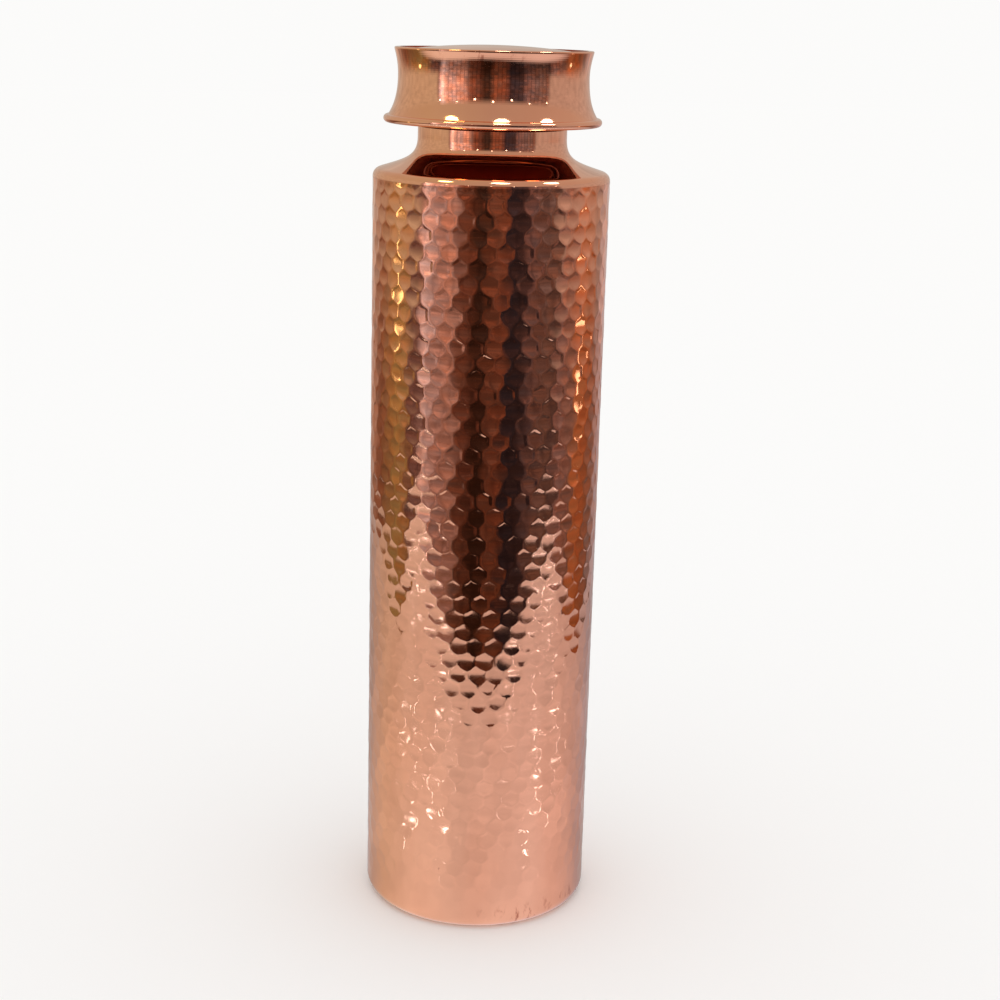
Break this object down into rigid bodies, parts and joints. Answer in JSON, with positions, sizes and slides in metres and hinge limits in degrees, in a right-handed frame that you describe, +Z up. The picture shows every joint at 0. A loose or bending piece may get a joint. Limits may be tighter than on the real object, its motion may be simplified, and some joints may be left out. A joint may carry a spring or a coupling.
{
  "type": "copper water bottle",
  "caption": "Tall straight hammered copper water bottle with a sloping shoulder, a short narrow neck and a waisted screw cap that lifts off.",
  "frame": {"origin": "centre of the foot ring, on the surface that the bottle stands on", "axes": "+Z up along the bottle's axis; +X and +Y are any two level directions"},
  "size_m": [0.073, 0.073, 0.2763],
  "materials": {
    "hammered_copper": "mirror-polished copper, hand hammered all over in close round dimples",
    "polished_copper": "mirror-polished spun copper with faint turning lines",
    "raw_copper": "satin pressed copper, slightly tarnished",
    "braze": "matt yellow brazing metal",
    "silicone": "translucent white silicone, matt"
  },
  "bodies": {
    "bottle": {"hammered_body": "hammered_copper", "base_plate": "raw_copper", "base_seam_braze": "braze", "shoulder_neck": "polished_copper", "shoulder_seam_braze": "braze", "neck_thread_ferrule": "polished_copper"},
    "seal": {"cap_gasket": "silicone"},
    "cap": {"cap_shell": "polished_copper", "cap_top_plate": "polished_copper", "cap_thread_cup": "raw_copper", "cap_crown_braze": "braze"}
  },
  "joints": [
    {"name": "cap_rise", "type": "slide", "parent": "bottle", "child": "seal", "axis": [0, 0, 1], "range_m": [0, 0.0251]},
    {"name": "cap_turn", "type": "hinge", "parent": "seal", "child": "cap", "pos_m": [0, 0, 0.26], "axis": [0, 0, 1], "range_deg": [0, 1800]}
  ],
  "couplings": [
    {"joint": "cap_rise", "follows": "cap_turn", "m_per_rad": 0.00079577}
  ]
}
